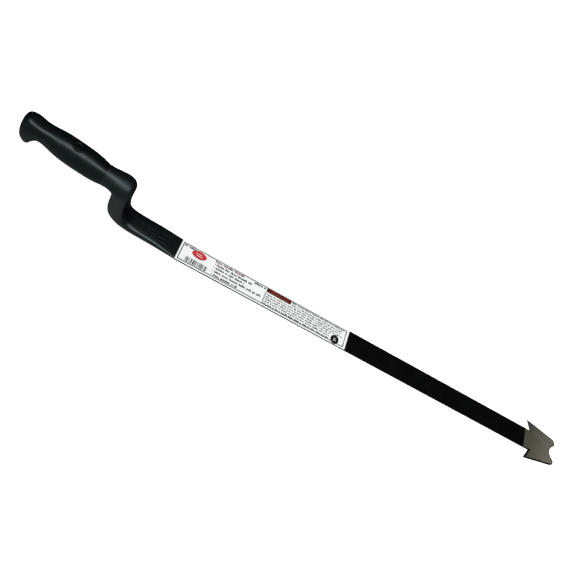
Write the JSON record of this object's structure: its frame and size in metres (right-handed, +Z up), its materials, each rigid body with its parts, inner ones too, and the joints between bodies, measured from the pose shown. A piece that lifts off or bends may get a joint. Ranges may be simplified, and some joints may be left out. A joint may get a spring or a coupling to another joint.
{
  "type": "slate ripper",
  "caption": "Roofer's slate ripper: long flat steel blade with a barbed, notched nail-cutting head and a moulded handle on an upward crank.",
  "frame": {"origin": "middle of the whole length and width, on the plane of the blade's underside, on which the tool lies flat", "axes": "+X along the blade towards the barbed head, +Y across the blade, +Z up from the blade's underside towards the raised grip"},
  "size_m": [0.894, 0.0624, 0.1062],
  "materials": {
    "painted_steel": "satin black paint, bare ground steel on the head",
    "bare_steel": "dull ground steel",
    "hard_plastic": "satin moulded plastic",
    "grip_plastic": "satin, slightly soft moulded plastic",
    "label_film": "printed self-adhesive film, semi-gloss"
  },
  "bodies": {
    "root": {"blade": "painted_steel", "crank_core": "bare_steel", "core_rivet_1": "bare_steel", "core_rivet_2": "bare_steel", "core_rivet_3": "bare_steel", "handle_moulding": "hard_plastic", "grip_sleeve": "grip_plastic", "blade_label": "label_film"}
  },
  "joints": []
}
